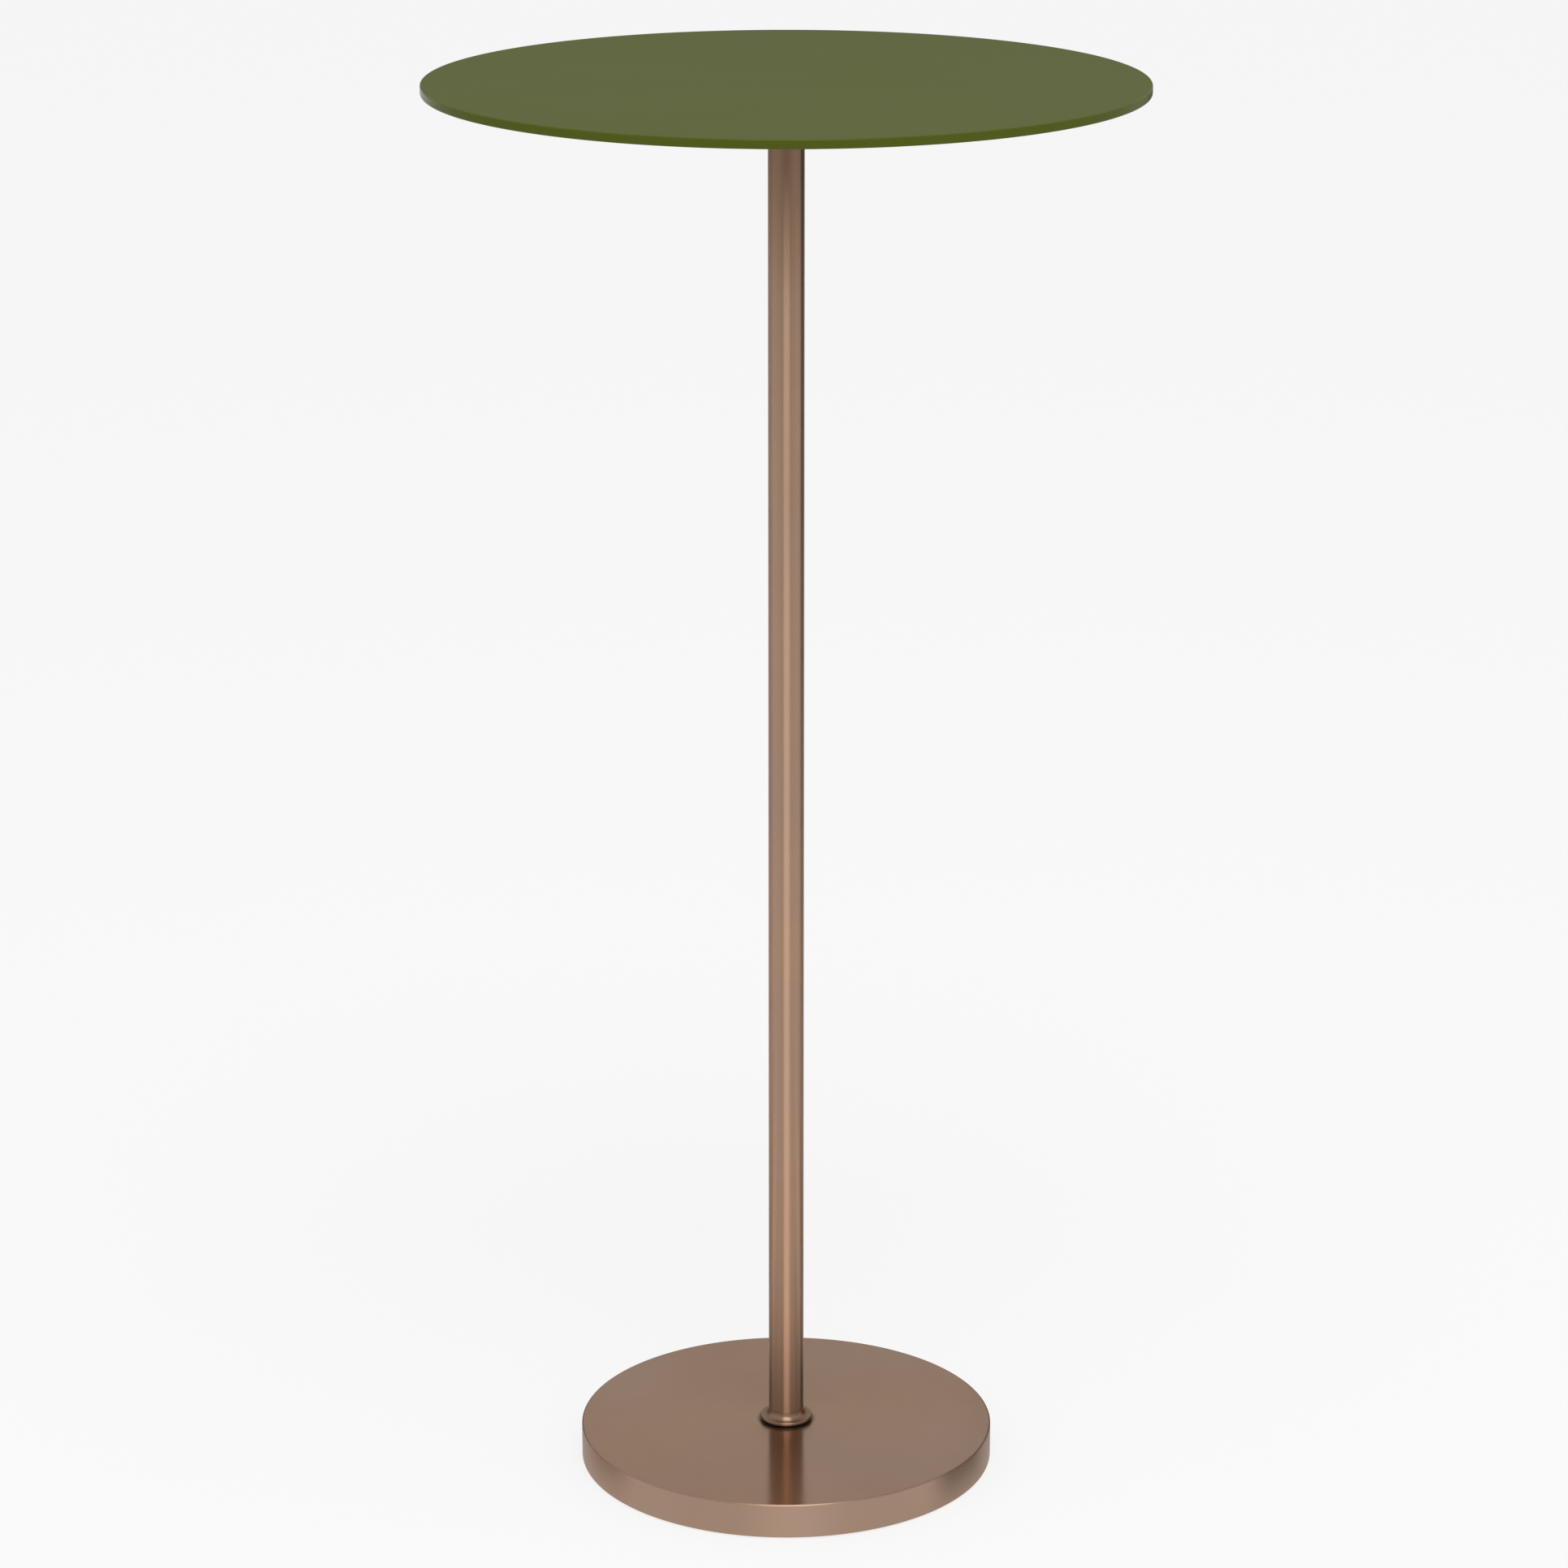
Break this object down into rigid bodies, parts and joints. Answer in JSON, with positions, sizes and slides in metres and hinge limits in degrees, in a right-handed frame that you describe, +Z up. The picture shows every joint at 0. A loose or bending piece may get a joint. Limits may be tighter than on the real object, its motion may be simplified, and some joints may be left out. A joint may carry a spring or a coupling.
{
  "type": "wine table",
  "caption": "Slim round pedestal wine table: a thin lacquered steel disc top on a straight plated tube column with a turned foot collar, standing on a heavy round disc base.",
  "frame": {"origin": "on the floor, in the middle of the base's underside", "axes": "+Z up along the column's axis, from the floor to the table top; the part is round, so +X is simply the way that points from one of the three hidden studs to the column"},
  "size_m": [0.314, 0.314, 0.64],
  "materials": {
    "green_lacquer": "stoved olive green lacquer, satin gloss",
    "antique_copper": "antique copper plate on steel, fine brushed satin, clear lacquered",
    "zinc_steel": "bright zinc plate",
    "black_fibre": "matt black fibre",
    "felt": "dense dark grey felt"
  },
  "bodies": {
    "root": {"table_top": "green_lacquer", "top_studs": "zinc_steel", "top_flange": "antique_copper", "flange_boss": "antique_copper", "stud_washers": "zinc_steel", "stud_nuts": "zinc_steel", "column_tube": "antique_copper", "tie_rod": "zinc_steel", "column_collar": "antique_copper", "collar_washer": "black_fibre", "base_disc": "antique_copper", "base_washer": "zinc_steel", "base_spring_washer": "zinc_steel", "base_nut": "zinc_steel", "base_pad": "felt"}
  },
  "joints": []
}
